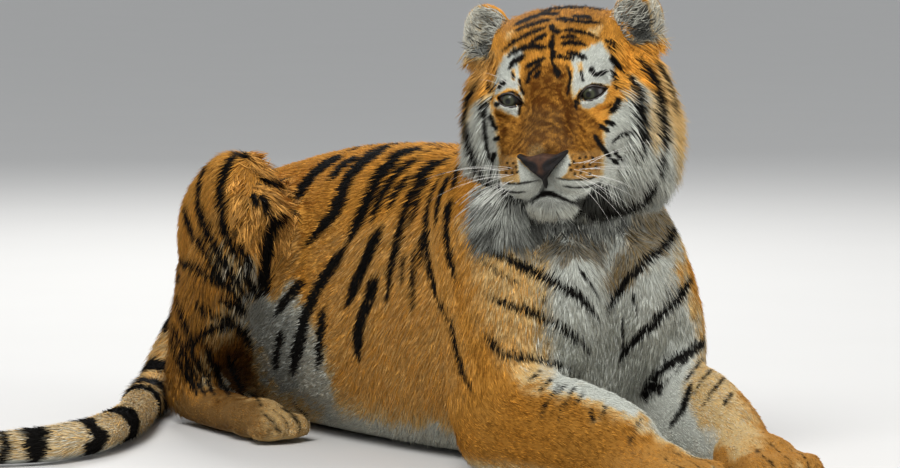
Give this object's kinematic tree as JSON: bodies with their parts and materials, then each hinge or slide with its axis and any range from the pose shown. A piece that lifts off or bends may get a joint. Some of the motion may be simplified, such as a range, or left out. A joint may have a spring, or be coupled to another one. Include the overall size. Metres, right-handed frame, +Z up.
{
  "type": "siberian tiger",
  "caption": "Life-size model of a Siberian tiger lying on its chest with its head raised and turned, one hind knee up, and its tail laid along the floor.",
  "frame": {"origin": "on the floor, centre of the chest's resting flat", "axes": "+Z up; the tiger faces -Y, so +Y runs along its body to the rump; its right side is -X"},
  "size_m": [1.2333, 1.5608, 0.7336],
  "materials": {
    "striped_fur": "dense orange coat with black stripes",
    "pale_fur": "dense white to cream coat with dark bands",
    "tail_fur": "short coat ringed in black",
    "nose": "moist bare skin",
    "eye": "glossy"
  },
  "bodies": {
    "root": {"chest": "striped_fur", "head": "striped_fur", "left_ear": "pale_fur", "left_eye": "eye", "left_forearm": "striped_fur", "left_forepaw": "striped_fur", "left_hind_foot": "striped_fur", "left_shank": "striped_fur", "left_thigh": "striped_fur", "left_upper_arm": "striped_fur", "loins": "striped_fur", "lower_jaw": "pale_fur", "neck": "pale_fur", "nose": "nose", "right_ear": "pale_fur", "right_eye": "eye", "right_forearm": "striped_fur", "right_forepaw": "striped_fur", "right_hind_foot": "striped_fur", "right_shank": "striped_fur", "right_thigh": "striped_fur", "right_upper_arm": "striped_fur", "rump": "striped_fur", "tail_middle": "tail_fur", "tail_root": "tail_fur", "tail_tip": "tail_fur"}
  },
  "joints": []
}
